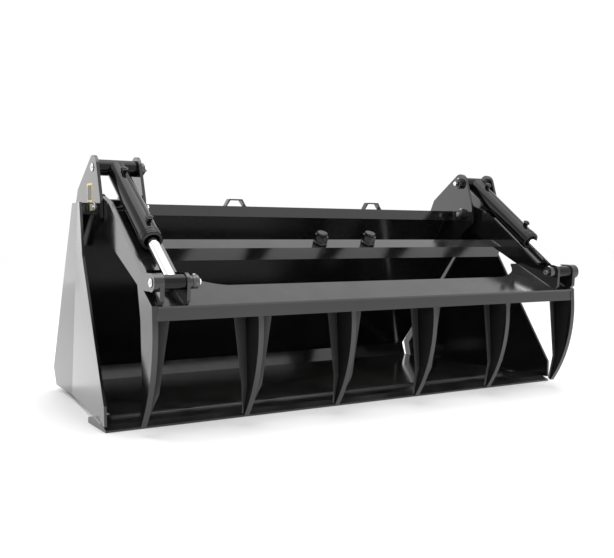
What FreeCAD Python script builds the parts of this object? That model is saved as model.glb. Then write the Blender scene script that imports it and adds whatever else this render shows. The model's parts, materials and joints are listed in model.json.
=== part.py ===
"""Grapple bucket for a skid steer loader, built as a parametric FreeCAD document.

Axes: X across the bucket (+X to the right seen from the front), +Y towards the loader,
+Z up. The origin is on the ground under the middle of the bucket. Lengths are in mm and
angles in degrees. The opening of the bucket faces -Y and the quick coupler is at +Y.
"""
import FreeCAD, Part
import math
import os
import Sketcher

doc = FreeCAD.newDocument("grapple_bucket")
sheet = doc.addObject("Spreadsheet::Sheet", "Sizes")
vector = FreeCAD.Vector

# ---------------------------------------------------------------- driving dimensions
DIMENSIONS = {
    # cutting edge and floor
    "edge_width": 2136, "edge_nose_y": -480, "edge_depth": 203, "edge_thick": 20,
    "edge_bevel": 36, "edge_nose_thick": 7, "floor_front_y": -330, "shell_thick": 8,
    # side plates: how far they stand past the edge, how far their corners lie in from the
    # nose, and their outline
    "side_thick": 10, "side_overhang": 4, "crease_foot_in": 82, "crease_head_in": 26,
    "rear_foot_in": 91, "side_nose_y": -478, "side_nose_top": 92, "side_knee_y": -158,
    "side_knee_drop": 204, "side_head_y": -136, "bucket_height": 804, "crease_foot_y": 205,
    "crease_head_y": -102, "side_rear_foot_y": 484, "heel_y": 509, "heel_z": 98,
    "side_rear_head_y": -18, "side_proud": 14,
    # top rail, wear runners and hose guides
    "rail_deep": 64, "rail_high": 44, "rail_wall": 5, "rail_front_y": -90,
    "runner_wide": 76, "runner_front_y": -250, "runner_rear_y": 440, "runner_pitch": 400,
    "runner_count": 5,
    "guide_x": 356, "guide_base": 100, "guide_top": 62, "guide_high": 32,
    "guide_thick": 6, "guide_wide": 26, "guide_inset": 38,
    # hinge brackets: heights are up (rise) or down (drop) from the top of the bucket
    "ram_in": 164.5, "bracket_thick": 12, "pivot_y": -152, "pivot_drop": 17,
    "ram_base_y": -132, "ram_base_rise": 132, "bracket_nose": 46, "bracket_front_y": -219,
    "bracket_front_drop": 59, "bracket_front_rise": 10, "bracket_back_y": 92,
    "bracket_back_rise": 4, "bracket_shoulder_y": 63, "bracket_shoulder_rise": 58,
    "bracket_low_drop": 163, "bracket_toe_y": -80,
    # pins, bosses and collars
    "pin_radius": 16, "pin_play": 0.06, "pin_proud": 2, "pin_tail": 6, "boss_radius": 22,
    "boss_long": 14, "collar_radius": 24, "collar_long": 20, "bolt_flats": 18, "bolt_head": 7,
    # grapple: drops are down from the top of the bucket
    "ear_gap": 79, "arm_inner_thick": 12, "arm_outer_thick": 20, "clevis_thick": 16,
    "arm_play": 2, "arm_heel": 50, "ear_radius": 31, "pivot_tube_radius": 30,
    "throat_y": -630, "ear_foot_drop": 342, "ear_foot_y": -722, "ear_root_y": -612,
    "rod_pin_y": -696, "rod_pin_drop": 281, "grapple_slope": 25.8, "beam_front_y": -703,
    "beam_low_drop": 407, "beam_seat_drop": 366, "plate_thick": 8, "flange_thick": 10,
    "arm_below_ram": 28, "cover_below_ram": 50, "arm_shoulder": 195, "arm_throat": 609,
    "cover_from_shoulder": 20, "cover_from_throat": 40,
    "arm_low_y": -215, "plate_ear_long": 253, "plate_ear_in": 34, "scallop_in": 203,
    "scallop_depth": 131, "scallop_radius": 240,
    # tines
    "tine_count": 6, "tine_thick": 20, "tine_brow_drop": 419, "tine_brow_y": -706,
    "tine_tip_y": -590, "tine_tip_z": 28, "tine_curve": 545, "tine_toe_y": -577,
    "tine_toe_z": 36, "tine_kink_y": -609, "tine_kink_z": 145, "tine_root_y": -597,
    "tine_root_drop": 407, "tine_knee_y": -570, "wing_out": 64, "wing_forward": 42,
    "wing_thick": 8, "wing_kink_out": 29, "wing_kink_forward": 19,
    # cross beam of the grapple
    "cross_rear_y": -310, "cross_top_drop": 140, "cross_deep": 76, "cross_high": 51,
    "cross_wall": 6, "port_x": 119, "port_flats": 50, "port_high": 38, "cap_radius": 21,
    "cap_high": 12,
    # hydraulic cylinders
    "tube_radius": 38, "tube_bore": 33, "gland_bore": 30, "rod_radius": 20,
    "piston_radius": 24, "piston_long": 40, "base_eye_radius": 31, "rod_eye_radius": 26,
    "tube_start": 42, "tube_end": 436, "gland_long": 34, "gland_radius": 40,
    "cap_thick": 16, "rod_start": 235, "nub_radius": 11, "nub_high": 16, "eye_play": 1.5,
    "nub_from_cap": 30, "nub_from_end": 34,
    # quick coupler on the back
    "coupler_half": 575, "coupler_low": 45, "coupler_long": 430, "coupler_gap": 34,
    "coupler_thick": 10, "lip_long": 62, "lip_angle": 42, "lip_land": 5, "foot_long": 62,
    "slot_x": 405, "slot_wide": 90, "slot_deep": 30, "slot_inset": 16, "rib_thick": 12,
    "rib_pitch": 372, "rib_count": 4,
}


class Size:
    """A number that remembers the spreadsheet expression it comes from."""

    def __init__(self, value, text):
        self.value = float(value)
        self.text = text

    @staticmethod
    def of(item):
        return item if isinstance(item, Size) else Size(item, repr(float(item)))

    def __add__(self, other):
        other = Size.of(other)
        return Size(self.value + other.value, f"({self.text} + {other.text})")

    def __sub__(self, other):
        other = Size.of(other)
        return Size(self.value - other.value, f"({self.text} - {other.text})")

    def __mul__(self, other):
        other = Size.of(other)
        return Size(self.value * other.value, f"({self.text} * {other.text})")

    def __truediv__(self, other):
        other = Size.of(other)
        return Size(self.value / other.value, f"({self.text} / {other.text})")

    def __neg__(self):
        return Size(-self.value, f"(-1 * {self.text})")

    def __radd__(self, other):
        return Size.of(other) + self

    def __rsub__(self, other):
        return Size.of(other) - self

    def __rmul__(self, other):
        return Size.of(other) * self


def cosine(angle):
    return Size(math.cos(math.radians(angle.value)), f"cos({angle.text})")


def sine(angle):
    return Size(math.sin(math.radians(angle.value)), f"sin({angle.text})")


def root(item):
    return Size(math.sqrt(item.value), f"sqrt({item.text})")


class Sizes:
    """Every spreadsheet cell, and what is worked out from them, as attributes."""


size = Sizes()
for row, (alias, number) in enumerate(DIMENSIONS.items(), start=1):
    sheet.set(f"A{row}", alias)
    sheet.set(f"B{row}", str(number))
    sheet.setAlias(f"B{row}", alias)
    setattr(size, alias, Size(number, f"Sizes.{alias}"))
doc.recompute()

HALF = 0.5
size.half_nose = size.edge_width * HALF + size.side_overhang
size.half_crease_foot = size.half_nose - size.crease_foot_in
size.half_crease_head = size.half_nose - size.crease_head_in
size.half_rear_foot = size.half_nose - size.rear_foot_in
size.ram_x = size.half_nose - size.ram_in

HEIGHTS_BELOW_TOP = {
    "side_knee_z": "side_knee_drop", "pivot_z": "pivot_drop",
    "bracket_front_low": "bracket_front_drop", "bracket_low": "bracket_low_drop",
    "ear_foot_z": "ear_foot_drop", "rod_pin_z": "rod_pin_drop",
    "beam_low_z": "beam_low_drop", "beam_seat_z": "beam_seat_drop",
    "tine_brow_z": "tine_brow_drop", "tine_root_z": "tine_root_drop",
    "cross_top_z": "cross_top_drop",
}
HEIGHTS_ABOVE_TOP = {
    "ram_base_z": "ram_base_rise", "bracket_front_high": "bracket_front_rise",
    "bracket_back_high": "bracket_back_rise", "bracket_shoulder_z": "bracket_shoulder_rise",
}
for name, drop in HEIGHTS_BELOW_TOP.items():
    setattr(size, name, size.bucket_height - getattr(size, drop))
for name, rise in HEIGHTS_ABOVE_TOP.items():
    setattr(size, name, size.bucket_height + getattr(size, rise))

SIDES = {"left": -1, "right": 1}
PARTS = {}


# ---------------------------------------------------------------- modelling helpers
def new_body(label):
    body = doc.addObject("PartDesign::Body", label)
    body.Label = label
    PARTS[label] = body
    return body


def plane_sketch(body, role, offset):
    """A sketch on one of the body's origin planes, moved along its normal by offset."""
    plane = [item for item in body.Origin.OriginFeatures if item.Role == role][0]
    sketch = body.newObject("Sketcher::SketchObject", body.Label + "_sketch")
    sketch.AttachmentSupport = (plane, [""])
    sketch.MapMode = "FlatFace"
    offset = Size.of(offset)
    sketch.AttachmentOffset = FreeCAD.Placement(vector(0, 0, offset.value), FreeCAD.Rotation())
    sketch.setExpression("AttachmentOffset.Base.z", offset.text)
    return sketch


def pin_point(sketch, geometry, position, point):
    """Bind one point of the sketch to its two coordinate expressions."""
    for kind, coordinate in zip(("DistanceX", "DistanceY"), point):
        coordinate = Size.of(coordinate)
        index = sketch.addConstraint(
            Sketcher.Constraint(kind, -1, 1, geometry, position, coordinate.value))
        sketch.setExpression(f"Constraints[{index}]", coordinate.text)


def as_vector(point):
    return vector(Size.of(point[0]).value, Size.of(point[1]).value, 0)


def draw_outline(sketch, points, arcs=None):
    """Closed outline; arcs maps the index of a point to the signed radius of the edge
    that leaves it, positive when the edge turns to the left of its travel."""
    arcs = arcs or {}
    ends = []
    for index, point in enumerate(points):
        start = as_vector(point)
        end = as_vector(points[(index + 1) % len(points)])
        if index not in arcs:
            ends.append((sketch.addGeometry(Part.LineSegment(start, end)), 1, 2))
            continue
        radius = arcs[index]
        chord = end - start
        across = vector(-chord.y, chord.x, 0).normalize()
        rise = math.sqrt(radius.value ** 2 - (chord.Length / 2) ** 2)
        centre = (start + end) * 0.5 + across * math.copysign(rise, radius.value)
        first, last = (start, end) if radius.value > 0 else (end, start)
        angles = [math.atan2(spot.y - centre.y, spot.x - centre.x) for spot in (first, last)]
        if angles[1] < angles[0]:
            angles[1] += 2 * math.pi
        circle = Part.Circle(centre, vector(0, 0, 1), abs(radius.value))
        geometry = sketch.addGeometry(Part.ArcOfCircle(circle, angles[0], angles[1]))
        sides = (1, 2) if radius.value > 0 else (2, 1)
        ends.append((geometry,) + sides)
        held = sketch.addConstraint(Sketcher.Constraint("Radius", geometry, abs(radius.value)))
        sketch.setExpression(f"Constraints[{held}]", f"abs({radius.text})")
    for index, (geometry, _, tail) in enumerate(ends):
        following, head, _ = ends[(index + 1) % len(ends)]
        sketch.addConstraint(Sketcher.Constraint("Coincident", geometry, tail, following, head))
    for point, (geometry, head, _) in zip(points, ends):
        pin_point(sketch, geometry, head, point)


def draw_circle(sketch, centre, radius):
    geometry = sketch.addGeometry(Part.Circle(as_vector(centre), vector(0, 0, 1), radius.value))
    pin_point(sketch, geometry, 3, centre)
    index = sketch.addConstraint(Sketcher.Constraint("Radius", geometry, radius.value))
    sketch.setExpression(f"Constraints[{index}]", radius.text)


def pad(body, sketch, length):
    feature = body.newObject("PartDesign::Pad", body.Label + "_pad")
    feature.Profile = sketch
    feature.Length = length.value
    feature.setExpression("Length", length.text)
    sketch.Visibility = False
    return feature


def pocket(body, sketch):
    """Cut the sketch through the whole body, against the sketch's normal."""
    feature = body.newObject("PartDesign::Pocket", body.Label + "_pocket")
    feature.Profile = sketch
    feature.Type = 1
    return feature


def slab(label, start, thick, outline, role="YZ_Plane", arcs=None, discs=(), holes=(), cuts=()):
    """A flat piece: an outline with rounded lugs (discs), round holes and cut outs.

    start is where the near face lies along the plane's normal."""
    body = new_body(label)
    sketch = plane_sketch(body, role, start)
    draw_outline(sketch, outline, arcs)
    pad(body, sketch, thick)
    for centre, radius in discs:
        sketch = plane_sketch(body, role, start)
        draw_circle(sketch, centre, radius)
        pad(body, sketch, thick)
    for centre, radius in holes:
        sketch = plane_sketch(body, role, start + thick)
        draw_circle(sketch, centre, radius)
        pocket(body, sketch)
    for cut in cuts:
        sketch = plane_sketch(body, role, start + thick)
        draw_outline(sketch, cut)
        pocket(body, sketch)
    return body


def set_place(item, place, turn=None):
    """Bind an object's position, and its turn about +X when one is given."""
    for letter, coordinate in zip("xyz", place):
        coordinate = Size.of(coordinate)
        item.setExpression(f"Placement.Base.{letter}", coordinate.text)
    if turn is None:
        turn = Size(0, "0")
    rotation = FreeCAD.Rotation(vector(1, 0, 0), turn.value)
    item.Placement = FreeCAD.Placement(vector(*[Size.of(axis).value for axis in place]), rotation)
    item.setExpression("Placement.Rotation.Angle", turn.text)


def keep(label, item):
    item.Label = label
    PARTS[label] = item
    return item


def cylinder(name, place, radius, height, turn=None):
    item = doc.addObject("Part::Cylinder", name)
    item.setExpression("Radius", radius.text)
    item.setExpression("Height", height.text)
    set_place(item, place, turn)
    return item


def cross_bar(name, x_low, spot, radius, height):
    """A round bar along X from x_low, centred on spot in the YZ plane."""
    item = doc.addObject("Part::Cylinder", name)
    item.setExpression("Radius", radius.text)
    item.setExpression("Height", height.text)
    item.Placement = FreeCAD.Placement(vector(0, 0, 0), FreeCAD.Rotation(vector(0, 1, 0), 90))
    for letter, coordinate in zip("xyz", (x_low,) + spot):
        item.setExpression(f"Placement.Base.{letter}", Size.of(coordinate).text)
    return item


def box(name, place, lengths):
    item = doc.addObject("Part::Box", name)
    for side, length in zip(("Length", "Width", "Height"), lengths):
        item.setExpression(side, Size.of(length).text)
    set_place(item, place)
    return item


def cut(name, base, tool):
    item = doc.addObject("Part::Cut", name)
    item.Base = base
    item.Tool = tool
    return item


def fuse(name, shapes):
    item = doc.addObject("Part::MultiFuse", name)
    item.Shapes = shapes
    return item


def group(name, shapes):
    """Separate solids kept together as one sub-part."""
    item = doc.addObject("Part::Compound", name)
    item.Links = shapes
    return item


def prism(points, push):
    """A solid swept from a flat polygon of (x, y, z) corners along the vector push."""
    wire = Part.makePolygon([vector(*point) for point in points] + [vector(*points[0])])
    return Part.Face(wire).extrude(vector(*push))


def solid_part(label, shape):
    item = doc.addObject("Part::Feature", label)
    item.Shape = shape.removeSplitter()
    return keep(label, item)


# ---------------------------------------------------------------- shared places
def span(side, inner, thick):
    """Low X of a piece that starts inner from the middle and is thick, on one side."""
    return inner if side > 0 else -(inner + thick)


shell_under = size.edge_thick
back_run = size.heel_y - size.side_rear_head_y
back_rise = size.bucket_height - size.heel_z
back_long = root(back_run * back_run + back_rise * back_rise)
back_up = (-(back_run / back_long), back_rise / back_long)
back_out = (back_rise / back_long, back_run / back_long)
pivot = (size.pivot_y, size.pivot_z)
ram_base = (size.ram_base_y, size.ram_base_z)
rod_pin = (size.rod_pin_y, size.rod_pin_z)
ram_run = size.rod_pin_y - size.ram_base_y
ram_drop = size.rod_pin_z - size.ram_base_z
ram_long = root(ram_run * ram_run + ram_drop * ram_drop)
ram_dir = (ram_run / ram_long, ram_drop / ram_long)
bore = size.pin_radius + size.pin_play
ear_inner = size.ram_x - size.ear_gap * HALF
ear_outer = size.ram_x + size.ear_gap * HALF
arm_inner = ear_inner - size.arm_inner_thick
arm_outer = ear_outer + size.clevis_thick
tine_middle = arm_outer + size.arm_outer_thick * HALF
bracket_outer = arm_outer + size.arm_outer_thick + size.arm_play
bracket_gap = (bracket_outer - size.ram_x) * 2
bracket_inner = size.ram_x - bracket_gap * HALF - size.bracket_thick
slope_cos = cosine(size.grapple_slope)
slope_sin = sine(size.grapple_slope)
slope_rise = slope_sin / slope_cos
plate_top = size.beam_seat_z + size.plate_thick / slope_cos


# Directions from a lug's centre, as (y, z) shares of its radius, where an outline meets it.
NOSE_FRONT = (-0.948, 0.319)
NOSE_REAR = (0.557, 0.830)
HEEL_LOW = (0.4, -0.9)
RIM_REAR = (0.98, 0)
RIM_TOP = (0, 0.98)
EAR_TOP = (0.1, 0.98)
EAR_FRONT = (-0.98, -0.1)
EAR_LOW = (-0.3, -0.94)
EAR_SHOULDER = 0.3
# Shares of a sheet's thickness: the fold at the heel, the foot of a strap, and how far the
# slot for the back runs past its foot. Last, how deep a port sinks in its tube's radius.
HEEL_FOLD = 0.6
STRAP_FOOT = 1.2
SLOT_RUN = 8
NUB_SINK = 0.1


def rim_point(centre, radius, share):
    """A point on or just inside the rim of a round lug."""
    return (centre[0] + radius * share[0], centre[1] + radius * share[1])


def back_point(along, out):
    """A point in the YZ plane, along the back from the heel and out from its skin."""
    foot_y = size.heel_y - size.side_proud * back_out[0]
    foot_z = size.heel_z - size.side_proud * back_out[1]
    return (foot_y + back_up[0] * along + back_out[0] * out,
            foot_z + back_up[1] * along + back_out[1] * out)


def ram_point(along, above):
    """A point along the cylinder from its base pin and above its axis."""
    return (size.ram_base_y + ram_dir[0] * along + ram_dir[1] * above,
            size.ram_base_z + ram_dir[1] * along - ram_dir[0] * above)


def seat_height(y_place, level):
    """Height at y_place of the sloping line that passes level at the beam's front."""
    return level + (y_place - size.beam_front_y) * slope_rise


# ---------------------------------------------------------------- bucket side plates
def facet(corners):
    """The half width at any (y, z) of the flat outer facet through three corners."""
    (y_a, z_a, x_a), (y_b, z_b, x_b), (y_c, z_c, x_c) = corners
    area = (y_b - y_a) * (z_c - z_a) - (y_c - y_a) * (z_b - z_a)
    slope_y = ((x_b - x_a) * (z_c - z_a) - (x_c - x_a) * (z_b - z_a)) / area
    slope_z = ((y_b - y_a) * (x_c - x_a) - (y_c - y_a) * (x_b - x_a)) / area
    return lambda y, z: x_a + slope_y * (y - y_a) + slope_z * (z - z_a)


def number(name):
    """The plain number of one size."""
    return getattr(size, name).value


foot = number("edge_thick")
head = number("bucket_height")
nose = (number("side_nose_y"), foot)
crease_foot = (number("crease_foot_y"), foot)
crease_head = (number("crease_head_y"), head)
rear_foot = (number("side_rear_foot_y"), foot)
side_heel = (number("heel_y"), number("heel_z"))
rear_head = (number("side_rear_head_y"), head)
front_head = (number("side_head_y"), head)
knee = (number("side_knee_y"), number("side_knee_z"))
nose_top = (number("side_nose_y"), number("side_nose_top"))
front_facet = facet([nose + (number("half_nose"),), crease_foot + (number("half_crease_foot"),),
                     crease_head + (number("half_crease_head"),)])
rear_facet = facet([crease_foot + (number("half_crease_foot"),),
                    crease_head + (number("half_crease_head"),),
                    rear_foot + (number("half_rear_foot"),)])
FRONT_OUTLINE = [nose, crease_foot, crease_head, front_head, knee, nose_top]
REAR_OUTLINE = [crease_foot, rear_foot, side_heel, rear_head, crease_head]


def facet_prism(outline, plane, side, thick):
    """A plate whose outer face is one facet, on one side."""
    points = [(side * plane(y, z), y, z) for y, z in outline]
    return prism(points, (-side * thick, 0, 0))


def side_plates():
    thick = number("side_thick")
    for name, side in SIDES.items():
        folded = facet_prism(FRONT_OUTLINE, front_facet, side, thick).fuse(
            facet_prism(REAR_OUTLINE, rear_facet, side, thick))
        solid_part(f"side_plate_{name}", folded)


def inside_of_sides():
    """The space between the two side plates, used to trim what spans them."""
    thick = number("side_thick")
    reach = 2 * number("half_nose")
    grow = number("edge_width")
    wide = [(-grow, foot - grow), (grow, foot - grow), (grow, head + grow), (-grow, head + grow)]
    space = prism([(-reach, y, z) for y, z in wide], (2 * reach, 0, 0))
    for side in SIDES.values():
        for plane in (front_facet, rear_facet):
            points = [(side * (plane(y, z) - thick), y, z) for y, z in wide]
            space = space.cut(prism(points, (side * 2 * reach, 0, 0)))
    item = doc.addObject("Part::Feature", "inside_of_sides")
    item.Shape = space
    return item


def trimmed(label, base, space):
    item = doc.addObject("Part::Common", label)
    item.Base = base
    item.Tool = space
    return keep(label, item)


# ---------------------------------------------------------------- bucket
def cutting_edge():
    rear = size.edge_nose_y + size.edge_depth
    outline = [(size.edge_nose_y, 0), (rear, 0), (rear, size.edge_thick),
               (size.edge_nose_y + size.edge_bevel, size.edge_thick),
               (size.edge_nose_y, size.edge_nose_thick)]
    slab("cutting_edge", -(size.edge_width * HALF), size.edge_width, outline)


def shell(space):
    """Floor, heel and back folded from one sheet."""
    gauge = size.shell_thick
    low = back_point(0, 0)
    top_along = (size.bucket_height - back_point(0, 0)[1]) / back_up[1]
    top = back_point(top_along, 0)
    inner_low = back_point(gauge * HEEL_FOLD, -gauge)
    inner_top = back_point(top_along + gauge * back_out[1] / back_up[1], -gauge)
    heel_foot = size.side_rear_foot_y - size.side_proud
    outline = [(size.floor_front_y, shell_under), (heel_foot, shell_under), low, top, inner_top,
               inner_low, (heel_foot - gauge * HALF, shell_under + gauge),
               (size.floor_front_y, shell_under + gauge)]
    blank = slab("shell_blank", -(size.edge_width * HALF), size.edge_width, outline)
    del PARTS["shell_blank"]
    rail_low = size.bucket_height - size.rail_high
    rail_space = box("rail_space", (-(size.edge_width * HALF), size.rail_front_y, rail_low),
                     (size.edge_width, size.rail_deep, size.rail_high * 2))
    trimmed("bucket_shell", cut("shell_under_rail", blank, rail_space), space)


def top_rail(space):
    low = size.bucket_height - size.rail_high
    wall = size.rail_wall
    rear = size.rail_front_y + size.rail_deep
    outline = [(size.rail_front_y, low), (rear, low), (rear, size.bucket_height),
               (size.rail_front_y, size.bucket_height)]
    hollow = [(size.rail_front_y + wall, low + wall), (rear - wall, low + wall),
              (rear - wall, size.bucket_height - wall),
              (size.rail_front_y + wall, size.bucket_height - wall)]
    blank = slab("rail_blank", -(size.edge_width * HALF), size.edge_width, outline, cuts=[hollow])
    del PARTS["rail_blank"]
    trimmed("top_rail", blank, space)


def wear_runners():
    length = size.runner_rear_y - size.runner_front_y
    middle = (size.runner_count - 1) * HALF
    bars = [box(f"runner_{index}",
                (size.runner_pitch * (index - middle) - size.runner_wide * HALF,
                 size.runner_front_y, 0), (size.runner_wide, length, size.edge_thick))
            for index in range(int(number("runner_count")))]
    keep("wear_runners", group("runners", bars))


def hose_guides():
    """Two bent straps on the rail that hold the hoses to the middle of the bucket."""
    level = size.bucket_height
    base = size.guide_base * HALF
    crown = size.guide_top * HALF
    inner = crown - size.guide_thick
    foot_in = base - size.guide_thick * STRAP_FOOT
    top = level + size.guide_high
    under = top - size.guide_thick
    guides = []
    for name, side in SIDES.items():
        middle = size.guide_x * side
        outline = [(middle - base, level), (middle - foot_in, level), (middle - inner, under),
                   (middle + inner, under), (middle + foot_in, level), (middle + base, level),
                   (middle + crown, top), (middle - crown, top)]
        guides.append(slab(f"hose_guide_{name}", -(size.rail_front_y + size.guide_inset
                                                   + size.guide_wide),
                           size.guide_wide, outline, role="XZ_Plane"))
        del PARTS[f"hose_guide_{name}"]
    keep("hose_guides", group("hose_guide_pair", guides))


def hinge_brackets():
    """Four plates that straddle the top of the back and carry both pins of each arm."""
    nose_front = rim_point(ram_base, size.bracket_nose, NOSE_FRONT)
    nose_rear = rim_point(ram_base, size.bracket_nose, NOSE_REAR)
    outline = [(size.bracket_front_y, size.bracket_front_low),
               (size.bracket_toe_y, size.bracket_low), (size.bracket_back_y, size.bracket_low),
               (size.bracket_back_y, size.bracket_back_high),
               (size.bracket_shoulder_y, size.bracket_shoulder_z), nose_rear, nose_front,
               (size.bracket_front_y, size.bracket_front_high)]
    rail_rear = size.rail_front_y + size.rail_deep
    rail_low = size.bucket_height - size.rail_high
    rail_notch = [(size.rail_front_y, rail_low), (rail_rear, rail_low),
                  (rail_rear, size.bucket_height), (size.rail_front_y, size.bucket_height)]
    slot_low = -(size.shell_thick * SLOT_RUN)
    slot_high = (size.bucket_height - back_point(0, 0)[1]) / back_up[1]
    over = slot_high + size.shell_thick
    back_slot = [back_point(slot_low, 0), back_point(slot_high, 0),
                 back_point(over, -size.shell_thick), back_point(slot_low, -size.shell_thick)]
    for name, side in SIDES.items():
        for place, inner in (("inner", bracket_inner), ("outer", bracket_outer)):
            slab(f"hinge_plate_{name}_{place}", span(side, inner, size.bracket_thick),
                 size.bracket_thick, outline, discs=[(ram_base, size.bracket_nose)],
                 holes=[(ram_base, bore), (pivot, bore)], cuts=[rail_notch, back_slot])


def ring(name, x_low, spot, outer, inner, long):
    return cut(name, cross_bar(name + "_outer", x_low, spot, outer, long),
               cross_bar(name + "_hole", x_low, spot, inner, long))


def clevis_bosses():
    """Rings welded round the rod pin holes on the inner face of the arms."""
    rings = [ring(f"clevis_boss_{name}", span(side, arm_inner - size.boss_long, size.boss_long),
                  rod_pin, size.boss_radius, bore, size.boss_long)
             for name, side in SIDES.items()]
    keep("clevis_bosses", group("clevis_boss_set", rings))


def pin(label, side, spot, inner, outer):
    """A pin from inner to outer, with a keeper collar round its inner end."""
    start = inner - size.collar_long - size.pin_tail
    shaft = cross_bar(label + "_shaft", span(side, start, outer - start), spot,
                      size.pin_radius, outer - start)
    collar = cross_bar(label + "_collar", span(side, inner - size.collar_long, size.collar_long),
                       spot, size.collar_radius, size.collar_long)
    keep(label, fuse(label + "_whole", [shaft, collar]))


def hexagon(flats, turn):
    """Corners of a hexagon, given the distance across its flats."""
    corner = flats * HALF / cosine(Size(30, "30"))
    angles = [Size(angle, str(angle)) for angle in range(turn, turn + 360, 60)]
    return [(cosine(angle) * corner, sine(angle) * corner) for angle in angles]


def pin_bolt(name, side, spot, inner):
    """A hex bolt head on the inner end of a pin."""
    face = inner - size.collar_long - size.pin_tail
    outline = [(spot[0] + y, spot[1] + z) for y, z in hexagon(size.bolt_flats, 0)]
    body = slab(name, span(side, face - size.bolt_head, size.bolt_head), size.bolt_head, outline)
    del PARTS[name]
    return body


def pins():
    bracket_face = bracket_outer + size.bracket_thick + size.pin_proud
    arm_face = arm_outer + size.arm_outer_thick + size.pin_proud
    places = (("pivot_pin", pivot, bracket_inner, bracket_face),
              ("ram_base_pin", ram_base, bracket_inner, bracket_face),
              ("rod_pin", rod_pin, arm_inner - size.boss_long, arm_face))
    bolts = {"bucket_pin_bolts": [], "grapple_pin_bolts": []}
    for label, spot, inner, outer in places:
        owner = "grapple_pin_bolts" if label == "rod_pin" else "bucket_pin_bolts"
        for name, side in SIDES.items():
            pin(f"{label}_{name}", side, spot, inner, outer)
            bolts[owner].append(pin_bolt(f"{label}_bolt_{name}", side, spot, inner))
    for label, heads in bolts.items():
        keep(label, group(label + "_set", heads))


# ---------------------------------------------------------------- quick coupler
def coupler():
    """Quick coupler: face plate, hooked top lip, slotted foot and the ribs behind it."""
    low = size.coupler_low
    high = size.coupler_low + size.coupler_long
    near = size.coupler_gap
    far = size.coupler_gap + size.coupler_thick
    gauge = size.coupler_thick
    half = size.coupler_half
    slab("coupler_plate", -half, half * 2,
         [back_point(low, near), back_point(low, far), back_point(high, far),
          back_point(high, near)])
    drop = cosine(size.lip_angle) * size.lip_long
    reach = sine(size.lip_angle) * size.lip_long
    hook = high + size.lip_land
    slab("coupler_top_lip", -half, half * 2,
         [back_point(high, near), back_point(high, far), back_point(hook, far),
          back_point(hook - drop, far + reach),
          back_point(hook - drop + gauge, far + reach + gauge),
          back_point(hook + gauge, far + gauge * HALF), back_point(hook + gauge, near)])
    foot = slab("foot_blank", -half, half * 2,
                [back_point(low - gauge, near), back_point(low, near),
                 back_point(low, far + size.foot_long),
                 back_point(low - gauge, far + size.foot_long)])
    del PARTS["foot_blank"]
    tilt = Size(math.degrees(math.atan2(back_out[1].value, back_out[0].value)),
                f"atan2({back_out[1].text}; {back_out[0].text})")
    slots = []
    for name, side in SIDES.items():
        slot = box(f"lock_slot_{name}", (0, 0, 0), (size.slot_wide, size.slot_deep, gauge * 4))
        set_place(slot, (size.slot_x * side - size.slot_wide * HALF,)
                  + back_point(low - gauge * 2, far + size.slot_inset), tilt)
        slots.append(slot)
    keep("coupler_foot", cut("foot_slotted", foot, fuse("lock_slots", slots)))
    ribs = []
    middle = (size.rib_count - 1) * HALF
    for index in range(int(number("rib_count"))):
        start = size.rib_pitch * (index - middle) - size.rib_thick * HALF
        rib = slab(f"coupler_rib_{index}", start, size.rib_thick,
                   [back_point(low, 0), back_point(low, near), back_point(high, near),
                    back_point(high + size.coupler_gap, 0)])
        del PARTS[f"coupler_rib_{index}"]
        ribs.append(rib)
    keep("coupler_ribs", group("ribs", ribs))


# ---------------------------------------------------------------- grapple
def arm_top():
    """Outline of an arm plate from its lower edge over the pivot to the rod pin's ear."""
    ear = size.ear_radius
    heel = size.arm_heel
    return [(size.arm_low_y, seat_height(size.arm_low_y, plate_top)),
            rim_point(pivot, heel, HEEL_LOW),
            rim_point(pivot, heel, RIM_REAR),
            rim_point(pivot, heel, RIM_TOP),
            ram_point(size.arm_shoulder, -size.arm_below_ram),
            ram_point(size.arm_throat, -size.arm_below_ram),
            rim_point(rod_pin, ear, EAR_TOP)]


def ear_front():
    """The front of an ear that stands on the plate, down to the front of the beam."""
    return [rim_point(rod_pin, size.ear_radius, EAR_FRONT),
            (size.ear_foot_y, size.ear_foot_z), (size.beam_front_y, plate_top)]


def tine_front(start):
    """The curved front of a tine from its brow down to the tip, and its hollow rear."""
    return start + [(size.tine_tip_y, size.tine_tip_z), (size.tine_toe_y, size.tine_toe_z),
                    (size.tine_kink_y, size.tine_kink_z), (size.tine_root_y, size.tine_root_z)]


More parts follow.
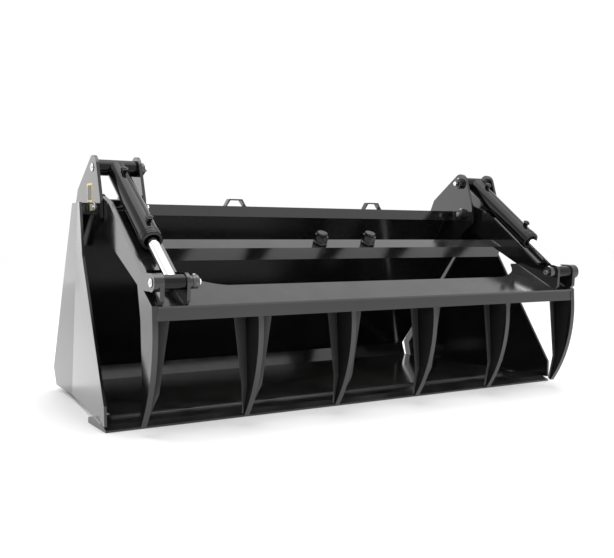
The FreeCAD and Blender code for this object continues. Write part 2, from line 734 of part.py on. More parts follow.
def arms():
    ear = size.ear_radius
    knee_spot = (size.tine_knee_y, seat_height(size.tine_knee_y, plate_top))
    ear_low = rim_point(rod_pin, ear, EAR_LOW)
    undercut = [ear_low, (size.throat_y, ear_low[1]), (size.beam_front_y, plate_top)]
    whole = tine_front([(size.tine_brow_y, size.tine_brow_z)]) + [knee_spot] + arm_top() + undercut
    lugs = [(pivot, size.arm_heel), (rod_pin, ear)]
    for name, side in SIDES.items():
        slab(f"arm_plate_{name}_inner", span(side, arm_inner, size.arm_inner_thick),
             size.arm_inner_thick, arm_top() + ear_front(), discs=lugs,
             holes=[(pivot, size.pivot_tube_radius), (rod_pin, bore)])
        slab(f"arm_plate_{name}_outer", span(side, arm_outer, size.arm_outer_thick),
             size.arm_outer_thick, whole, arcs={0: size.tine_curve}, discs=lugs,
             holes=[(pivot, bore), (rod_pin, bore)])
        clevis = [(size.ear_root_y, seat_height(size.ear_root_y, plate_top)),
                  (size.ear_root_y, size.rod_pin_z + ear * EAR_SHOULDER),
                  rim_point(rod_pin, ear, EAR_TOP)] + ear_front()
        slab(f"clevis_ear_{name}", span(side, ear_outer, size.clevis_thick), size.clevis_thick,
             clevis, discs=[(rod_pin, ear)], holes=[(rod_pin, bore)])
        below = size.cover_below_ram
        head = size.arm_shoulder + size.cover_from_shoulder
        tail = size.arm_throat - size.cover_from_throat
        cover = [ram_point(head, -below), ram_point(tail, -below),
                 ram_point(tail, -below - size.plate_thick),
                 ram_point(head, -below - size.plate_thick)]
        slab(f"arm_cover_{name}", span(side, ear_inner, arm_outer - ear_inner),
             arm_outer - ear_inner, cover)


def pivot_tubes():
    """Tubes that carry the arms on the pivot pins, welded through the inner arm plates."""
    start = bracket_inner + size.bracket_thick + size.arm_play
    for name, side in SIDES.items():
        keep(f"pivot_tube_{name}", ring(f"pivot_tube_{name}_ring",
                                        span(side, start, arm_outer - start), pivot,
                                        size.pivot_tube_radius, bore, arm_outer - start))


def grapple_plate():
    """The big sloping plate, scalloped between the arms so the load can be seen."""
    half = arm_outer
    deep = size.scallop_depth
    ear_in = arm_inner - size.plate_ear_in
    scallop = arm_inner - size.scallop_in
    ear = size.plate_ear_long
    outline = [(-half, 0), (half, 0), (half, ear), (ear_in, ear), (scallop, deep),
               (-scallop, deep), (-ear_in, ear), (-half, ear)]
    bend = -size.scallop_radius
    body = slab("grapple_plate", 0, size.plate_thick, outline, role="XY_Plane",
                arcs={3: bend, 5: bend})
    set_place(body, (0, size.beam_front_y, size.beam_seat_z), size.grapple_slope)


def beam():
    low = size.beam_low_z
    front = size.beam_front_y
    rear = front + size.flange_thick
    wide = arm_outer * 2
    slab("beam_flange", -arm_outer, wide,
         [(front, low), (rear, low), (rear, seat_height(rear, size.beam_seat_z)),
          (front, size.beam_seat_z)])


def middle_tines():
    rear = size.beam_front_y + size.flange_thick
    top_front = (rear, seat_height(rear, size.beam_seat_z))
    top_rear = (size.tine_root_y, seat_height(size.tine_root_y, size.beam_seat_z))
    outline = tine_front([top_front, (rear, size.beam_low_z),
                          (size.beam_front_y, size.beam_low_z),
                          (size.tine_brow_y, size.tine_brow_z)]) + [top_rear]
    pitch = tine_pitch()
    for index in range(1, int(number("tine_count")) - 1):
        middle = pitch * (index - (size.tine_count.value - 1) / 2)
        slab(f"tine_{index + 1}", middle - size.tine_thick * HALF, size.tine_thick, outline,
             arcs={3: size.tine_curve})


def tine_pitch():
    return tine_middle * 2 / (size.tine_count - 1)


def wing(middle, side, half):
    """One swept wing of a tine: a tapering plate from the rear of the rib outwards."""
    thick = number("wing_thick")
    top = number("tine_root_z")
    root_y = number("tine_root_y") - thick
    kink_y = number("tine_kink_y") - thick
    kink_z = number("tine_kink_z")
    face = middle + side * half
    root_in = (face, root_y, top)
    root_out = (face + side * number("wing_out"), root_y - number("wing_forward"), top)
    kink_in = (face, kink_y, kink_z)
    kink_out = (face + side * number("wing_kink_out"), kink_y - number("wing_kink_forward"),
                kink_z)
    toe = (face, number("tine_toe_y") - thick, number("tine_toe_z"))
    push = (0, thick, 0)
    upper = prism([root_in, root_out, kink_in], push).fuse(
        prism([root_out, kink_out, kink_in], push))
    return upper.fuse(prism([kink_in, kink_out, toe], push))


def tine_wings():
    count = int(number("tine_count"))
    pitch = tine_pitch().value
    pairs = {"middle_tine_wings": [], "end_tine_wings": []}
    for index in range(count):
        middle = pitch * (index - (count - 1) / 2)
        inward = -math.copysign(1, middle)
        if index in (0, count - 1):
            pairs["end_tine_wings"].append(wing(middle, inward, number("arm_outer_thick") / 2))
            continue
        for side in SIDES.values():
            pairs["middle_tine_wings"].append(wing(middle, side, number("tine_thick") / 2))
    for label, wings in pairs.items():
        item = doc.addObject("Part::Feature", label)
        item.Shape = Part.makeCompound(wings)
        keep(label, item)


def cross_point(along, down):
    """A point of the cross beam's section, down its slope and square to it from the rear."""
    return (size.cross_rear_y - slope_cos * along + slope_sin * down,
            size.cross_top_z - slope_sin * along - slope_cos * down)


def cross_beam():
    """Hollow beam between the inner arm plates, lying at the slope of the arms."""
    wall = size.cross_wall
    deep = size.cross_deep
    high = size.cross_high
    outline = [cross_point(0, 0), cross_point(deep, 0), cross_point(deep, high),
               cross_point(0, high)]
    hollow = [cross_point(wall, wall), cross_point(deep - wall, wall),
              cross_point(deep - wall, high - wall), cross_point(wall, high - wall)]
    slab("cross_beam", -arm_inner, arm_inner * 2, outline, cuts=[hollow])


def hydraulic_ports():
    """Two capped hex bulkhead fittings that stand on the sloping top of the cross beam."""
    middle = cross_point(size.cross_deep * HALF, 0)
    top = cross_point(size.cross_deep * HALF, -size.port_high)
    fittings = []
    for name, side in SIDES.items():
        body = doc.addObject("PartDesign::Body", f"port_hex_{name}")
        sketch = plane_sketch(body, "XY_Plane", 0)
        draw_outline(sketch, hexagon(size.port_flats, 15))
        pad(body, sketch, size.port_high)
        set_place(body, (size.port_x * side,) + middle, size.grapple_slope)
        cap = cylinder(f"port_cap_{name}", (size.port_x * side,) + top, size.cap_radius,
                       size.cap_high, size.grapple_slope)
        fittings.append(fuse(f"port_{name}", [body, cap]))
    keep("hydraulic_ports", group("port_pair", fittings))


# ---------------------------------------------------------------- hydraulic cylinders
def ram_piece(name, side, start, long, radius, above=0):
    """A round piece along one cylinder's axis, from start, long and with its radius."""
    turn = Size(math.degrees(math.atan2(-ram_dir[0].value, ram_dir[1].value)),
                f"atan2(-1 * {ram_dir[0].text}; {ram_dir[1].text})")
    return cylinder(name, (size.ram_x * side,) + ram_point(start, above), radius, long, turn)


def hollow_ram(name, side, start, long, outer, inner):
    return cut(name, ram_piece(name + "_out", side, start, long, outer),
               ram_piece(name + "_in", side, start, long, inner))


def rams():
    gap = bracket_gap - size.eye_play * 2
    rod_gap = size.ear_gap - size.eye_play * 2
    tube_long = size.tube_end - size.tube_start
    gland_start = size.tube_end
    rod_end = ram_long - size.pin_radius
    for name, side in SIDES.items():
        tube = hollow_ram(f"ram_tube_{name}_body", side, size.tube_start + size.cap_thick,
                          tube_long - size.cap_thick, size.tube_radius, size.tube_bore)
        keep(f"ram_tube_{name}", tube)
        cap = cut(f"ram_cap_{name}_whole",
                  ram_piece(f"ram_cap_{name}_disc", side, size.pin_radius,
                            size.tube_start + size.cap_thick - size.pin_radius, size.tube_radius),
                  cross_bar(f"ram_cap_{name}_saddle", span(side, size.ram_x - gap, gap * 2),
                            ram_base, size.base_eye_radius, gap * 2))
        eye = ring(f"ram_eye_{name}_ring", span(side, size.ram_x - gap * HALF, gap), ram_base,
                   size.base_eye_radius, bore, gap)
        keep(f"ram_base_{name}", fuse(f"ram_base_{name}_whole", [cap, eye]))
        keep(f"ram_gland_{name}", hollow_ram(f"ram_gland_{name}_ring", side, gland_start,
                                             size.gland_long, size.gland_radius, size.gland_bore))
        nubs = [ram_piece_port(f"ram_port_{name}_{index}", side, along)
                for index, along in enumerate((size.tube_start + size.cap_thick + size.nub_from_cap,
                                               size.tube_end - size.nub_from_end))]
        keep(f"ram_ports_{name}", group(f"ram_ports_{name}_set", nubs))
        rod = cut(f"ram_rod_{name}_trim",
                  ram_piece(f"ram_rod_{name}_bar", side, size.rod_start,
                            rod_end - size.rod_start, size.rod_radius),
                  cross_bar(f"ram_rod_{name}_saddle", span(side, size.ram_x - gap, gap * 2),
                            rod_pin, size.rod_eye_radius, gap * 2))
        keep(f"ram_rod_{name}", rod)
        keep(f"ram_piston_{name}", ram_piece(f"ram_piston_{name}_disc", side,
                                             size.rod_start - size.piston_long, size.piston_long,
                                             size.piston_radius))
        keep(f"ram_rod_eye_{name}", ring(f"ram_rod_eye_{name}_ring",
                                         span(side, size.ram_x - rod_gap * HALF, rod_gap),
                                         rod_pin, size.rod_eye_radius, bore, rod_gap))


def ram_piece_port(name, side, along):
    """A hose port that stands on top of the tube, square to the cylinder's axis."""
    turn = Size(math.degrees(math.atan2(-ram_dir[1].value, -ram_dir[0].value)),
                f"atan2(-1 * {ram_dir[1].text}; -1 * {ram_dir[0].text})")
    sink = size.tube_radius * NUB_SINK
    nub = cylinder(name + "_nub", (size.ram_x * side,) + ram_point(along, size.tube_radius - sink),
                   size.nub_radius, size.nub_high, turn)
    return cut(name, nub, ram_piece(name + "_saddle", side, size.tube_start, ram_long,
                                    size.tube_radius))


# ---------------------------------------------------------------- build and write
side_plates()
between = inside_of_sides()
cutting_edge()
shell(between)
top_rail(between)
wear_runners()
hose_guides()
hinge_brackets()
clevis_bosses()
pins()
coupler()
arms()
pivot_tubes()
grapple_plate()
beam()
middle_tines()
tine_wings()
cross_beam()
hydraulic_ports()
rams()
doc.recompute()

for item in doc.Objects:
    if "Invalid" in item.State or "Error" in item.State:
        raise RuntimeError(f"{item.Label} did not compute: {item.State}")
for label, item in PARTS.items():
    if item.Shape.isNull() or not item.Shape.isValid() or not item.Shape.Solids:
        raise RuntimeError(f"{label} has no valid solid")

os.makedirs("parts", exist_ok=True)
for label, item in PARTS.items():
    item.Shape.exportStep(f"parts/{label}.step")
print(len(PARTS), "parts written")
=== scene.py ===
"""Looks of the grapple bucket: paint, steel, weld beads, small fittings, floor, light, camera.

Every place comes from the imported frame, in metres: +X across the bucket, +Y to the loader, +Z up.
"""
import json
import math
import random

import bmesh
import bpy
from mathutils import Matrix, Vector
from mathutils.bvhtree import BVHTree


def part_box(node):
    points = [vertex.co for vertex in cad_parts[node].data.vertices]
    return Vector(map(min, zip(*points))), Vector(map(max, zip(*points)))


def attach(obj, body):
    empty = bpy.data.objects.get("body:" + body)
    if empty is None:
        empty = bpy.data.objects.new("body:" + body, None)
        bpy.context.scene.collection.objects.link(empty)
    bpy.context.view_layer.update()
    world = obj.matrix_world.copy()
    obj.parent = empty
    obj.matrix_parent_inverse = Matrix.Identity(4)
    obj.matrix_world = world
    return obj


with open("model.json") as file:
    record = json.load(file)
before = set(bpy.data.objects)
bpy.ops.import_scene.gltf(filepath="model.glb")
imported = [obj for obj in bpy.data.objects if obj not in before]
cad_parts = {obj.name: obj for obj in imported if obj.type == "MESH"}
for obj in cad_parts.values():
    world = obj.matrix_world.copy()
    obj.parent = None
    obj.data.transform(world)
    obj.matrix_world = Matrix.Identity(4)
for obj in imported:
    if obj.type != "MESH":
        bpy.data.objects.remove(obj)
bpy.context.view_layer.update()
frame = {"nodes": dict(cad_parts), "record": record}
NODES = frame["nodes"]
BODIES = frame["record"]["behaviour"]["bodies"]
SIDES = {"left": -1, "right": 1}
SLOT_OF = {entry["node"]: entry["material_slot"] for entry in frame["record"]["subparts"]}
BODY_OF = {node: body for body, nodes in BODIES.items() for node in nodes}
PIVOT_OF = {joint["name"]: Vector(joint["pos_m"])
            for joint in frame["record"]["behaviour"]["joints"]}

# camera, worked out from the photograph's perspective
CAMERA_PLACE = (-1.9756, -3.3149, 0.6587)
CAMERA_TILT = 2.562
CAMERA_TURN = 31.15
LENS = 50

# edges and welds
EDGE_ROUND = 0.0014
WELD_RADIUS = 0.0042
WELD_STEP = 0.0045
WELD_SIDES = 8
WELD_MIN = 0.02
PROBE_STEP = 0.02
CONTACT = 0.0006
SHARP = math.radians(25)

# small fittings
COLLAR_MIDDLE = 0.016
SCREW_SINK = 0.0006
KNURLS = 30
KNURL_REACH = 0.0209
FILM_HALF = 0.0003
FILM_CORNER = 0.004
FILM_BACK = 0.40

# paint and floor
SCUFF_GAIN = 2.2
DUST = (0.20, 0.19, 0.18)
FLOOR_REACH = 60
FLOOR_DROP = 0.0006


# ---------------------------------------------------------------- material building
def grey(value):
    return (value, value, value)


class Shader:
    """A material with its node tree and short calls for adding and linking nodes."""

    def __init__(self, name):
        self.material = bpy.data.materials.new(name)
        self.material.use_nodes = True
        self.tree = self.material.node_tree
        self.surface = self.tree.nodes["Principled BSDF"]
        self.place = self.add("ShaderNodeTexCoord").outputs["Object"]

    def add(self, kind, inputs=None, **settings):
        node = self.tree.nodes.new(kind)
        for key, value in settings.items():
            setattr(node, key, value)
        for key, value in (inputs or {}).items():
            if isinstance(value, bpy.types.NodeSocket):
                self.tree.links.new(value, node.inputs[key])
            else:
                node.inputs[key].default_value = value
        return node

    def stretched(self, scale):
        return self.add("ShaderNodeMapping", {"Vector": self.place, "Scale": scale}).outputs[0]

    def noise(self, scale, detail=4, rough=0.55, vector=None):
        inputs = {"Vector": vector or self.place, "Scale": scale, "Detail": detail,
                  "Roughness": rough}
        return self.add("ShaderNodeTexNoise", inputs).outputs["Fac"]

    def span(self, value, low, high, source=(0.3, 0.7)):
        inputs = {"Value": value, "From Min": source[0], "From Max": source[1],
                  "To Min": low, "To Max": high}
        return self.add("ShaderNodeMapRange", inputs).outputs["Result"]

    def blend(self, factor, first, second):
        node = self.add("ShaderNodeMix", data_type="RGBA")
        self.tree.links.new(factor, node.inputs["Factor"])
        for socket, colour in ((node.inputs[6], first), (node.inputs[7], second)):
            if isinstance(colour, bpy.types.NodeSocket):
                self.tree.links.new(colour, socket)
            else:
                socket.default_value = (*colour, 1)
        return node.outputs[2]

    def bump(self, height, strength, distance, under=None):
        inputs = {"Height": height, "Strength": strength, "Distance": distance}
        if under:
            inputs["Normal"] = under
        return self.add("ShaderNodeBump", inputs).outputs["Normal"]

    def set(self, **inputs):
        """Socket names are written with _ for a space."""
        for key, value in inputs.items():
            socket = self.surface.inputs[key.replace("_", " ")]
            if isinstance(value, bpy.types.NodeSocket):
                self.tree.links.new(value, socket)
            else:
                socket.default_value = value
        return self.material


def paint(name, dark, light, rough, index, peel=0.05, wear=0.4):
    """Sprayed enamel: cloudy tone, orange peel, fine scuffs and a film of dust on top."""
    shader = Shader(name)
    tone = shader.blend(shader.span(shader.noise(2.6), 0, 1), dark, light)
    scuffs = shader.noise(46, 6, 0.7, shader.stretched((1, 5, 1)))
    scuff_mask = shader.span(scuffs, 0, wear, (0.60, 0.74))
    toned = shader.blend(scuff_mask, tone, tuple(SCUFF_GAIN * value for value in light))
    up = shader.add("ShaderNodeSeparateXYZ",
                    {"Vector": shader.add("ShaderNodeNewGeometry").outputs["Normal"]}).outputs["Z"]
    lying = shader.span(up, 0, 1, (0.55, 1.0))
    film = shader.add("ShaderNodeMath", {0: lying, 1: shader.span(shader.noise(9), 0.0, 0.10)},
                      operation="MULTIPLY").outputs[0]
    dusty = shader.blend(film, toned, DUST)
    gloss = shader.span(shader.noise(14, 5, 0.6), rough[0], rough[1])
    rougher = shader.add("ShaderNodeMath", {0: gloss, 1: shader.add(
        "ShaderNodeMath", {0: scuff_mask, 1: 0.35}, operation="MULTIPLY").outputs[0]},
        operation="ADD").outputs[0]
    skin = shader.bump(shader.noise(260, 2, 0.4), peel, 0.0004)
    skin = shader.bump(scuffs, 0.03, 0.0003, skin)
    return shader.set(Base_Color=dusty, Roughness=rougher, IOR=index, Normal=skin)


def chrome():
    """Hard chromed rod: ground round the rod, with faint streaks along its stroke."""
    shader = Shader("rod_chrome")
    streaks = shader.noise(90, 3, 0.5, shader.stretched((1, 0.08, 0.08)))
    tone = shader.blend(shader.span(streaks, 0, 1), (0.86, 0.86, 0.87), (0.95, 0.95, 0.96))
    gloss = shader.span(streaks, 0.09, 0.17)
    skin = shader.bump(shader.noise(700, 2, 0.4), 0.02, 0.0002)
    return shader.set(Base_Color=tone, Metallic=1.0, Roughness=gloss, Normal=skin)


def turned_steel(name, dark, light, rough):
    """Turned or plated steel with tool marks round the X axis and cloudy plating."""
    shader = Shader(name)
    marks = shader.noise(420, 3, 0.5, shader.stretched((1, 0.02, 0.02)))
    cloud = shader.noise(70, 4, 0.6)
    tone = shader.blend(shader.span(cloud, 0, 1), dark, light)
    gloss = shader.span(cloud, rough[0], rough[1])
    skin = shader.bump(marks, 0.12, 0.0003)
    return shader.set(Base_Color=tone, Metallic=1.0, Roughness=gloss, Normal=skin)


def rubber():
    """Nitrile wiper seal: matt, nearly black, with fine moulding grain."""
    shader = Shader("seal_rubber")
    tone = shader.blend(shader.span(shader.noise(60), 0, 1), grey(0.010),
                        (0.030, 0.029, 0.028))
    gloss = shader.span(shader.noise(90), 0.5, 0.7)
    return shader.set(Base_Color=tone, Roughness=gloss,
                      Normal=shader.bump(shader.noise(1500, 2), 0.2, 0.0002))


def label_film(name, dark, light):
    """Blank printed film with a satin face and a little fading."""
    shader = Shader(name)
    tone = shader.blend(shader.span(shader.noise(50), 0, 1), dark, light)
    return shader.set(Base_Color=tone, Roughness=shader.span(shader.noise(120), 0.3, 0.45),
                      Normal=shader.bump(shader.noise(900, 2), 0.05, 0.0001))


def floor_coat():
    """Matt studio floor, very slightly mottled."""
    shader = Shader("studio_floor")
    tone = shader.blend(shader.span(shader.noise(1.5), 0, 1), grey(0.97), grey(0.985))
    return shader.set(Base_Color=tone, Roughness=0.6, Specular_IOR_Level=0.2)


MATERIALS = {
    "bucket_paint": paint("bucket_paint", grey(0.004), grey(0.008), (0.07, 0.13), 1.68),
    "grapple_paint": paint("grapple_paint", grey(0.004), grey(0.009), (0.08, 0.15), 1.66),
    "cylinder_paint": paint("cylinder_paint", grey(0.002), grey(0.004), (0.07, 0.12), 1.33),
    "rod_chrome": chrome(),
    "pin_steel": turned_steel("pin_steel", (0.74, 0.74, 0.75), (0.92, 0.92, 0.92), (0.22, 0.38)),
    "fitting_steel": turned_steel("fitting_steel", (0.025, 0.025, 0.027),
                                  (0.075, 0.075, 0.078), (0.20, 0.34)),
}
SEAL = rubber()
PIN_BLACK = turned_steel("pin_black", (0.06, 0.06, 0.062), (0.15, 0.15, 0.152), (0.28, 0.42))
# The tine wings carry the grapple's black paint in a lighter colour: painted light, standing in for
# the front light that the wings catch.
WING_PAINTED_LIGHT = paint("wing_painted_light", grey(0.036), grey(0.050), (0.34, 0.46), 1.55)
PIN_LABELS = ("pivot_pin", "ram_base_pin", "rod_pin")
OWN_FINISH = {f"{label}_{side}": PIN_BLACK for label in PIN_LABELS for side in SIDES}
OWN_FINISH.update({"middle_tine_wings": WING_PAINTED_LIGHT, "end_tine_wings": WING_PAINTED_LIGHT})


# ---------------------------------------------------------------- CAD nodes
def round_edges(node):
    """A real small radius on every sharp edge, so that edges catch the light."""
    bevel = node.modifiers.new("edge_round", "BEVEL")
    bevel.width = EDGE_ROUND
    bevel.segments = 2
    bevel.limit_method = "ANGLE"
    bevel.angle_limit = SHARP
    bevel.use_clamp_overlap = True
    bevel.harden_normals = True


def dress_nodes():
    for name, node in NODES.items():
        material = OWN_FINISH.get(name, MATERIALS[SLOT_OF[name]])
        if not node.material_slots:
            node.data.materials.append(material)
        for held in node.material_slots:
            held.material = material
        round_edges(node)


# ---------------------------------------------------------------- piece helpers
def make_piece(name, mesh_builder, slot, body, material=None, smooth=True):
    """A new mesh piece filled by bmesh, with its finish and the body that it rides on."""
    shape = bmesh.new()
    mesh_builder(shape)
    bmesh.ops.remove_doubles(shape, verts=shape.verts, dist=1e-6)
    bmesh.ops.recalc_face_normals(shape, faces=shape.faces)
    mesh = bpy.data.meshes.new(name)
    shape.to_mesh(mesh)
    shape.free()
    for polygon in mesh.polygons:
        polygon.use_smooth = smooth
    piece = bpy.data.objects.new(name, mesh)
    bpy.context.scene.collection.objects.link(piece)
    mesh.materials.append(material or MATERIALS[slot])
    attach(piece, body)
    return piece


def along(direction):
    """Rotation that takes +Z to a direction."""
    return Vector((0, 0, 1)).rotation_difference(Vector(direction)).to_matrix().to_4x4()


def turn_profile(shape, profile, origin, direction, steps=32, flats=0):
    """Revolves (radius, height) pairs about direction. With flats, radii become a polygon's."""
    place = Matrix.Translation(origin) @ along(direction)
    rings = []
    for radius, height in profile:
        ring = []
        for step in range(steps):
            angle = 2 * math.pi * step / steps
            reach = radius
            if flats:
                sector = 2 * math.pi / flats
                reach = radius / math.cos((angle % sector) - sector / 2)
            ring.append(shape.verts.new(
                place @ Vector((reach * math.cos(angle), reach * math.sin(angle), height))))
        rings.append(ring)
    for lower, upper in zip(rings, rings[1:]):
        for step in range(steps):
            following = (step + 1) % steps
            shape.faces.new((lower[step], lower[following], upper[following], upper[step]))
    return rings


def closed_turning(shape, profile, origin, direction, steps=32, flats=0):
    rings = turn_profile(shape, profile, origin, direction, steps, flats)
    shape.faces.new(list(reversed(rings[0])))
    shape.faces.new(rings[-1])


# ---------------------------------------------------------------- weld beads
def plain_mesh(name):
    shape = bmesh.new()
    shape.from_mesh(NODES[name].data)
    bmesh.ops.remove_doubles(shape, verts=shape.verts, dist=1e-6)
    return shape


def seams(name, against):
    """Stretches of a node's sharp edges that lie on the surface of another node."""
    own = plain_mesh(name)
    other = plain_mesh(against)
    tree = BVHTree.FromBMesh(other)
    runs = []
    for edge in own.edges:
        length = edge.calc_length()
        if len(edge.link_faces) != 2 or length < WELD_MIN:
            continue
        if edge.calc_face_angle(0) < SHARP:
            continue
        start, end = (vertex.co.copy() for vertex in edge.verts)
        count = max(4, int(length / PROBE_STEP))
        touching = []
        for step in range(count + 1):
            distance = tree.find_nearest(start.lerp(end, step / count))[3]
            touching.append(distance is not None and distance < CONTACT)
        first = None
        for step, touches in enumerate(touching + [False]):
            if touches and first is None:
                first = step
            if not touches and first is not None:
                low = start.lerp(end, first / count)
                high = start.lerp(end, min(step - 1, count) / count)
                if (high - low).length > WELD_MIN:
                    runs.append((low, high))
                first = None
    own.free()
    other.free()
    return runs


def bead(shape, start, end, dice):
    """A rippled bead from start to end, as a welder's stacked puddles leave it."""
    run = end - start
    count = max(6, int(run.length / WELD_STEP))
    turn = along(run.normalized())
    rings = []
    for step in range(count + 1):
        share = step / count
        taper = min(1, 4 * share + 0.35, 4 * (1 - share) + 0.35)
        ripple = 0.84 + 0.16 * (step % 2) + dice.uniform(-0.06, 0.06)
        radius = WELD_RADIUS * taper * ripple
        centre = start + run * share
        rings.append([shape.verts.new(centre + turn @ Vector((
            radius * math.cos(2 * math.pi * side / WELD_SIDES),
            radius * math.sin(2 * math.pi * side / WELD_SIDES), 0)))
            for side in range(WELD_SIDES)])
    for lower, upper in zip(rings, rings[1:]):
        for side in range(WELD_SIDES):
            following = (side + 1) % WELD_SIDES
            shape.faces.new((lower[side], lower[following], upper[following], upper[side]))
    shape.faces.new(list(reversed(rings[0])))
    shape.faces.new(rings[-1])


def weld(name, pairs):
    """One piece holding the beads of every pair of nodes that are welded together."""
    dice = random.Random(name)
    runs = [run for pair in pairs for run in seams(*pair)]
    if not runs:
        raise RuntimeError(f"{name} found no seam")

    def build(shape):
        for start, end in runs:
            bead(shape, start, end, dice)
    body = BODY_OF[pairs[0][0]]
    make_piece(name, build, SLOT_OF[pairs[0][0]], body)


def all_welds():
    for side in SIDES:
        brackets = [f"hinge_plate_{side}_{place}" for place in ("inner", "outer")]
        weld(f"welds_hinge_{side}", [(plate, other) for plate in brackets
                                     for other in ("bucket_shell", "top_rail")])
        weld(f"welds_side_{side}", [("bucket_shell", f"side_plate_{side}"),
                                    ("top_rail", f"side_plate_{side}"),
                                    (f"side_plate_{side}", "cutting_edge")])
        arms = [f"arm_plate_{side}_{place}" for place in ("inner", "outer")]
        weld(f"welds_arm_{side}", [(arms[0], "grapple_plate"),
                                   (f"clevis_ear_{side}", "grapple_plate"),
                                   ("grapple_plate", arms[1]), ("beam_flange", arms[1]),
                                   ("cross_beam", arms[0]), (f"arm_cover_{side}", arms[0]),
                                   (f"arm_cover_{side}", arms[1])])
    weld("welds_edge", [("bucket_shell", "cutting_edge"), ("wear_runners", "bucket_shell")])
    weld("welds_coupler", [("coupler_ribs", "bucket_shell"), ("coupler_plate", "coupler_top_lip"),
                           ("coupler_ribs", "coupler_plate"), ("coupler_foot", "coupler_plate")])
    tines = [f"tine_{index}" for index in range(2, 6)]
    weld("welds_tines", [(tine, other) for tine in tines
                         for other in ("grapple_plate", "beam_flange", "middle_tine_wings")])
    weld("welds_guides", [("hose_guides", "top_rail")])


# ---------------------------------------------------------------- fittings
def pins():
    """Each pin node with its outward sign, its outer and inner end in X, and its box."""
    for label in PIN_LABELS:
        for side, sign in SIDES.items():
            node = f"{label}_{side}"
            low, high = (Vector(corner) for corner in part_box(node))
            outer, inner = (high.x, low.x) if sign > 0 else (low.x, high.x)
            yield node, sign, outer, inner, low, high


def pin_fittings():
    """A grease nipple and a turned groove ring on the outer end of every pin."""
    for node, sign, outer, _, low, high in pins():
        middle = (low + high) / 2
        face = Vector((outer, middle.y, middle.z))
        out = (sign, 0, 0)

        def nipple(shape):
            closed_turning(shape, [(0.0044, 0), (0.0044, 0.0022)], face, out, 36, 6)
            closed_turning(shape, [(0.0028, 0.0022), (0.0024, 0.0045), (0.0016, 0.0052),
                                   (0.0022, 0.0062), (0.0022, 0.0070), (0.0012, 0.0078)],
                           face, out, 24)

        def groove(shape):
            closed_turning(shape, [(0.0150, -0.0006), (0.0150, 0.0004), (0.0142, 0.0010),
                                   (0.0112, 0.0010), (0.0106, 0.0003)], face, out, 48)
        make_piece(f"grease_nipple_{node}", nipple, "pin_steel", BODY_OF[node])
        make_piece(f"pin_end_{node}", groove, "pin_steel", BODY_OF[node])


def collar_fittings():
    """A socket screw that locks each collar on its pin, on top of the collar."""
    for node, sign, _, inner, low, high in pins():
        middle = (low + high) / 2
        top = Vector((inner + sign * COLLAR_MIDDLE, middle.y, high.z - SCREW_SINK))

        def screw(shape):
            turn_profile(shape, [(0.0004, 0.0012), (0.0024, 0.0012), (0.0026, 0.0034),
                                 (0.0046, 0.0034), (0.0050, 0.0028), (0.0050, 0.0)],
                         top, (0, 0, 1), 24)
        make_piece(f"collar_screw_{node}", screw, "pin_steel", BODY_OF[node])


def ram_axis(side):
    base = PIVOT_OF[f"barrel_{side}_swing"]
    tip = PIVOT_OF[f"rod_{side}_swing"]
    return base, (tip - base).normalized()


def ram_fittings():
    """Wiper seal, gland ring, and a hex plug on each hose port of both cylinders."""
    for side in SIDES:
        base, axis = ram_axis(side)
        gland = NODES[f"ram_gland_{side}"]
        reach = max((vertex.co - base).dot(axis) for vertex in gland.data.vertices)
        end = base + axis * reach

        def wiper(shape):
            turn_profile(shape, [(0.0370, -0.001), (0.0370, 0.0020), (0.0345, 0.0042),
                                 (0.0300, 0.0046), (0.0284, 0.0030), (0.0282, -0.0080)],
                         end, axis, 56)

        def band(shape):
            turn_profile(shape, [(0.0398, -0.0260), (0.0408, -0.0254), (0.0408, -0.0214),
                                 (0.0398, -0.0208)], end, axis, 64)
            turn_profile(shape, [(0.0398, -0.0120), (0.0408, -0.0114), (0.0408, -0.0074),
                                 (0.0398, -0.0068)], end, axis, 64)
        body = f"barrel_{side}"
        make_piece(f"wiper_seal_{side}", wiper, "cylinder_paint", body, SEAL)
        make_piece(f"gland_bands_{side}", band, "cylinder_paint", body)
        port_plugs(side, base, axis)


def islands(name):
    """Vertex positions of each separate solid in a node, from the front one back."""
    shape = plain_mesh(name)
    seen = set()
    found = []
    for seed in shape.verts:
        if seed in seen:
            continue
        seen.add(seed)
        stack = [seed]
        group = []
        while stack:
            vertex = stack.pop()
            group.append(vertex.co.copy())
            for edge in vertex.link_edges:
                other = edge.other_vert(vertex)
                if other not in seen:
                    seen.add(other)
                    stack.append(other)
        found.append(group)
    shape.free()
    return sorted(found, key=lambda group: min(point.y for point in group))


def port_plugs(side, base, axis):
    above = Vector((0, -axis.z, axis.y))
    if above.z < 0:
        above = -above
    for index, points in enumerate(islands(f"ram_ports_{side}")):
        middle = sum(points, Vector()) / len(points)
        top = max((point - base).dot(above) for point in points)
        seat = base + axis * (middle - base).dot(axis) + above * top

        def plug(shape):
            closed_turning(shape, [(0.0125, 0), (0.0132, 0.0008), (0.0132, 0.0062),
                                   (0.0122, 0.0072)], seat, above, 48, 6)
            closed_turning(shape, [(0.0088, 0.0072), (0.0088, 0.0096), (0.0078, 0.0104)],
                           seat, above, 32)
        make_piece(f"port_plug_{side}_{index}", plug, "fitting_steel", f"barrel_{side}")


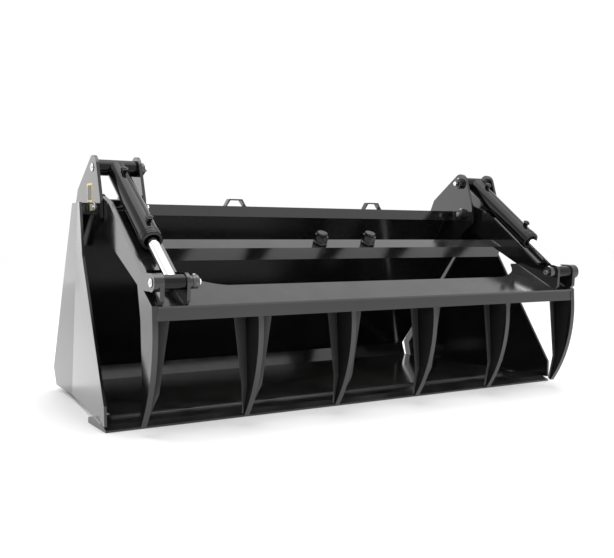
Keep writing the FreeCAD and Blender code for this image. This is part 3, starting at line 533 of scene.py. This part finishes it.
def bulkhead_fittings():
    """Locking nut under and knurled rim on top of each capped port of the cross beam."""
    for mount in frame["record"]["mounts"]:
        if not mount["name"].startswith("hydraulic_port"):
            continue
        top = Vector(mount["pos_m"])
        out = Vector(mount["axis"])

        def nut(shape):
            closed_turning(shape, [(0.0270, -0.0498), (0.0284, -0.0484), (0.0284, -0.0400),
                                   (0.0270, -0.0386)], top, out, 48, 6)

        def rim(shape):
            for step in range(KNURLS):
                angle = 2 * math.pi * step / KNURLS
                side_way = along(out) @ Vector((math.cos(angle), math.sin(angle), 0))
                closed_turning(shape, [(0.0010, -0.0105), (0.0013, -0.0095), (0.0013, -0.0035),
                                       (0.0010, -0.0025)], top + side_way * KNURL_REACH, out, 8)
        make_piece(f"lock_nut_{mount['name']}", nut, "fitting_steel", "grapple")
        make_piece(f"cap_knurl_{mount['name']}", rim, "fitting_steel", "grapple")


def blank_labels():
    """Two blank stickers on the left hinge plate, the upper one with a dark field on it."""
    low, high = (Vector(corner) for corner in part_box("hinge_plate_left_outer"))
    yellow = label_film("label_yellow", (0.60, 0.46, 0.10), (0.70, 0.56, 0.16))
    dark = label_film("label_dark", (0.020, 0.020, 0.020), (0.035, 0.035, 0.034))
    pale = label_film("label_pale", (0.62, 0.58, 0.40), (0.74, 0.70, 0.54))
    films = {"label_upper": (0.034, 0.036, 0.140, 0.0002, yellow),
             "label_field": (0.026, 0.028, 0.140, 0.0006, dark),
             "label_lower": (0.034, 0.013, 0.196, 0.0002, pale)}
    for name, (wide, tall, drop, proud, film) in films.items():
        centre = Vector((low.x - proud, low.y + (high.y - low.y) * FILM_BACK, high.z - drop))

        def sticker(shape):
            outline = []
            for quarter, (across, upward) in enumerate(((1, 1), (-1, 1), (-1, -1), (1, -1))):
                for step in range(5):
                    angle = math.pi / 2 * (quarter + step / 4)
                    outline.append(
                        (across * (wide - FILM_CORNER) + FILM_CORNER * math.cos(angle),
                         upward * (tall - FILM_CORNER) + FILM_CORNER * math.sin(angle)))
            faces = [[shape.verts.new(centre + Vector((shift, y, z))) for y, z in outline]
                     for shift in (FILM_HALF, -FILM_HALF)]
            shape.faces.new(faces[0])
            shape.faces.new(list(reversed(faces[1])))
            count = len(outline)
            for step in range(count):
                following = (step + 1) % count
                shape.faces.new((faces[0][step], faces[0][following], faces[1][following],
                                 faces[1][step]))
        make_piece(name, sticker, "bucket_paint", "bucket", film, smooth=False)


# ---------------------------------------------------------------- stage, light, camera
def floor():
    mesh = bpy.data.meshes.new("floor")
    reach = FLOOR_REACH
    mesh.from_pydata([(-reach, -reach, 0), (reach, -reach, 0), (reach, reach, 0),
                      (-reach, reach, 0)], [], [(0, 1, 2, 3)])
    ground = bpy.data.objects.new("floor", mesh)
    ground.location.z = -FLOOR_DROP
    mesh.materials.append(floor_coat())
    bpy.context.scene.collection.objects.link(ground)


def softbox(name, place, target, width, height, power):
    data = bpy.data.lights.new(name, "AREA")
    data.shape = "RECTANGLE"
    data.size = width
    data.size_y = height
    data.energy = power
    lamp = bpy.data.objects.new(name, data)
    lamp.location = place
    aim = Vector(target) - Vector(place)
    lamp.rotation_euler = aim.to_track_quat("-Z", "Y").to_euler()
    lamp.visible_camera = False
    bpy.context.scene.collection.objects.link(lamp)


def studio():
    world = bpy.data.worlds.new("studio")
    world.use_nodes = True
    sky = world.node_tree.nodes["Background"]
    sky.inputs["Color"].default_value = (1, 1, 1, 1)
    sky.inputs["Strength"].default_value = 1.02
    bpy.context.scene.world = world
    softbox("overhead", (0, -0.6, 4.2), (0, 0, 0.4), 5.2, 3.8, 140)
    softbox("left_panel", (-4.2, 5.0, 1.6), (-1.0, 0.0, 0.5), 7.0, 4.4, 68)
    bpy.context.scene.view_settings.view_transform = "Standard"


def camera():
    data = bpy.data.cameras.new("camera")
    data.lens = LENS
    data.sensor_width = 36
    eye = bpy.data.objects.new("camera", data)
    eye.location = CAMERA_PLACE
    eye.rotation_euler = (math.radians(90 - CAMERA_TILT), 0, math.radians(-CAMERA_TURN))
    bpy.context.scene.collection.objects.link(eye)
    bpy.context.scene.camera = eye


camera()
floor()
studio()
dress_nodes()
all_welds()
pin_fittings()
collar_fittings()
ram_fittings()
bulkhead_fittings()
blank_labels()
